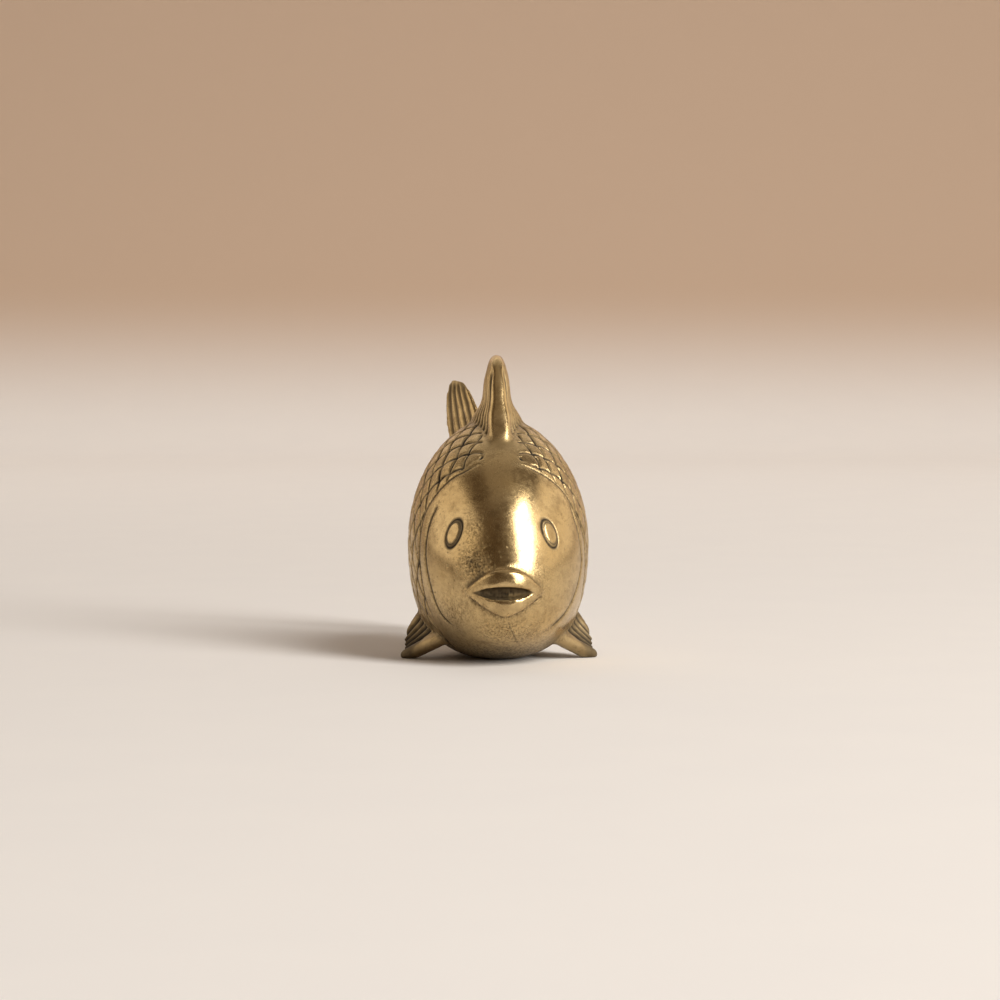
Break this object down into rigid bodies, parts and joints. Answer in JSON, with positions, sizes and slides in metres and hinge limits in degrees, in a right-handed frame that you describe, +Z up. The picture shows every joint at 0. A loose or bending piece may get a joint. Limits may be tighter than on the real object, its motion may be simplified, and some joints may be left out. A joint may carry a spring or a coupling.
{
  "type": "fish figurine",
  "caption": "Small plump brass fish ornament that rests on its belly and on its spread pectoral fins, with raised dorsal fin, bent forked tail, full lips and oval eyes.",
  "frame": {"origin": "on the filed flat of the belly, in the fish's median plane, at table height", "axes": "-Y is where the snout points, +X is the fish's left side, +Z is up"},
  "size_m": [0.0262, 0.0546, 0.04],
  "materials": {
    "antique_brass": "satin, with dark patina in the grooves"
  },
  "bodies": {
    "root": {"body_left_half": "antique_brass", "body_right_half": "antique_brass", "dorsal_fin": "antique_brass", "tail_fin": "antique_brass", "pectoral_fin_left": "antique_brass", "pectoral_fin_right": "antique_brass", "eye_left": "antique_brass", "eye_right": "antique_brass", "seam_pins": "antique_brass"}
  },
  "joints": []
}
